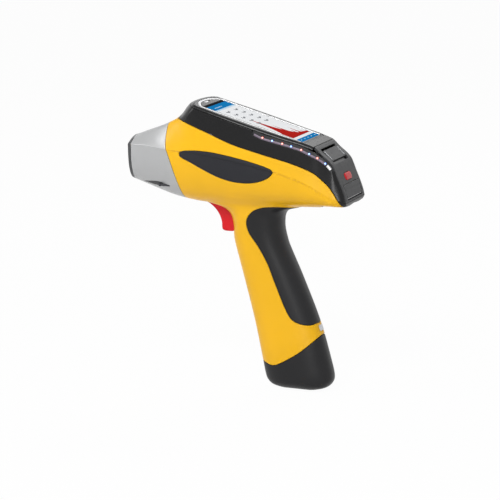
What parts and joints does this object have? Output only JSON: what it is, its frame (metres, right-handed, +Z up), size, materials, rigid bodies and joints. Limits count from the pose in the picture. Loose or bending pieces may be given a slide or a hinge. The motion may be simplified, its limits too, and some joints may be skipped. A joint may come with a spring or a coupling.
{
  "type": "handheld xrf analyzer",
  "caption": "Pistol-grip X-ray fluorescence analyzer with a tapered metal nose, sloped display, side lights, finger trigger and a slide-out battery in the handle.",
  "frame": {"origin": "centre of the measuring face at the tip of the nose", "axes": "+X runs from the measuring face back to the rear panel, +Z up from the handle to the display, +Y to the right-hand side seen from behind"},
  "size_m": [0.26, 0.0896, 0.315],
  "materials": {
    "yellow_plastic": "satin",
    "silver_nose": "satin",
    "dark_plate": "polished",
    "film": "gloss",
    "black_rubber": "soft sheen",
    "black_plastic": "satin",
    "grey_plastic": "fine texture",
    "bezel_silver": "satin",
    "display_black": "gloss",
    "lcd": "gloss",
    "light_guide": "clear",
    "red_led": "gloss",
    "blue_led": "gloss",
    "screw_steel": "satin",
    "aluminium_part": "machined",
    "tube_steel": "satin",
    "hv_resin": "gloss",
    "board_green": "gloss",
    "brass_part": "machined",
    "trigger_red": "gloss",
    "switch_black": "matte",
    "cell_wrap": "gloss",
    "latch_steel": "polished"
  },
  "bodies": {
    "housing": {"left_shell": "yellow_plastic", "right_shell": "yellow_plastic", "nose_cone": "silver_nose", "front_plate": "dark_plate", "window_film": "film", "left_side_pad": "black_rubber", "right_side_pad": "black_rubber", "grip_rubber": "black_rubber", "top_housing": "black_plastic", "display_bezel": "bezel_silver", "display_glass": "display_black", "lcd_panel": "lcd", "rear_panel": "grey_plastic", "left_light_pipe": "light_guide", "right_light_pipe": "light_guide", "red_leds": "red_led", "blue_leds": "blue_led", "shell_screws": "screw_steel", "nose_screws": "screw_steel", "chassis": "aluminium_part", "measuring_block": "aluminium_part", "xray_tube": "tube_steel", "tube_boot": "black_plastic", "hv_supply": "hv_resin", "detector": "tube_steel", "preamp_board": "board_green", "main_board": "board_green", "processor_cover": "tube_steel", "filter_motor": "aluminium_part", "trigger_pin": "screw_steel", "trigger_spring": "screw_steel", "trigger_switch": "switch_black", "power_switch": "switch_black", "port_cover_pin": "screw_steel", "data_ports": "switch_black", "speaker": "black_plastic", "battery_contacts": "switch_black", "underside_pad": "black_rubber"},
    "trigger": {"trigger": "trigger_red"},
    "power_button": {"power_button": "trigger_red"},
    "display_latch": {"display_latch": "grey_plastic"},
    "port_cover": {"port_cover": "grey_plastic"},
    "battery": {"battery_case": "black_plastic", "battery_base": "black_plastic", "battery_cells": "cell_wrap"},
    "battery_latch": {"battery_latch": "latch_steel"},
    "filter_wheel": {"filter_wheel": "brass_part"},
    "filter_pinion": {"filter_pinion": "brass_part"}
  },
  "joints": [
    {"name": "trigger_pull", "type": "hinge", "parent": "housing", "child": "trigger", "pos_m": [0.09906, 0, -0.03705], "axis": [0, -1, 0], "range_deg": [0, 8], "stiffness_Nm_per_rad": 1, "springref_deg": -5.73, "deforming": ["trigger_spring"]},
    {"name": "power_press", "type": "slide", "parent": "housing", "child": "power_button", "axis": [-0.9205, 0, -0.3907], "range_m": [0, 0.0012], "stiffness_N_per_m": 800, "springref_m": -0.0005},
    {"name": "latch_slide", "type": "slide", "parent": "housing", "child": "display_latch", "axis": [0.7431, 0, -0.6691], "range_m": [0, 0.003], "stiffness_N_per_m": 300, "springref_m": -0.002},
    {"name": "port_cover_hinge", "type": "hinge", "parent": "housing", "child": "port_cover", "pos_m": [0.25783, 0, -0.02722], "axis": [0, 1, 0], "range_deg": [0, 95]},
    {"name": "battery_slide", "type": "slide", "parent": "housing", "child": "battery", "axis": [0.3256, 0, -0.9455], "range_m": [0, 0.14]},
    {"name": "battery_latch_press", "type": "slide", "parent": "housing", "child": "battery_latch", "axis": [-0.9455, 0, -0.3256], "range_m": [0, 0.0012], "stiffness_N_per_m": 800, "springref_m": -0.001},
    {"name": "filter_turn", "type": "hinge", "parent": "housing", "child": "filter_wheel", "pos_m": [0.02499, 0.0065, -0.00717], "axis": [0.9613, 0, -0.2756], "continuous": true},
    {"name": "pinion_turn", "type": "hinge", "parent": "housing", "child": "filter_pinion", "pos_m": [0.02499, 0.01966, -0.00717], "axis": [0.9613, 0, -0.2756], "continuous": true}
  ],
  "couplings": [
    {"joint": "pinion_turn", "follows": "filter_turn", "ratio": -3}
  ]
}
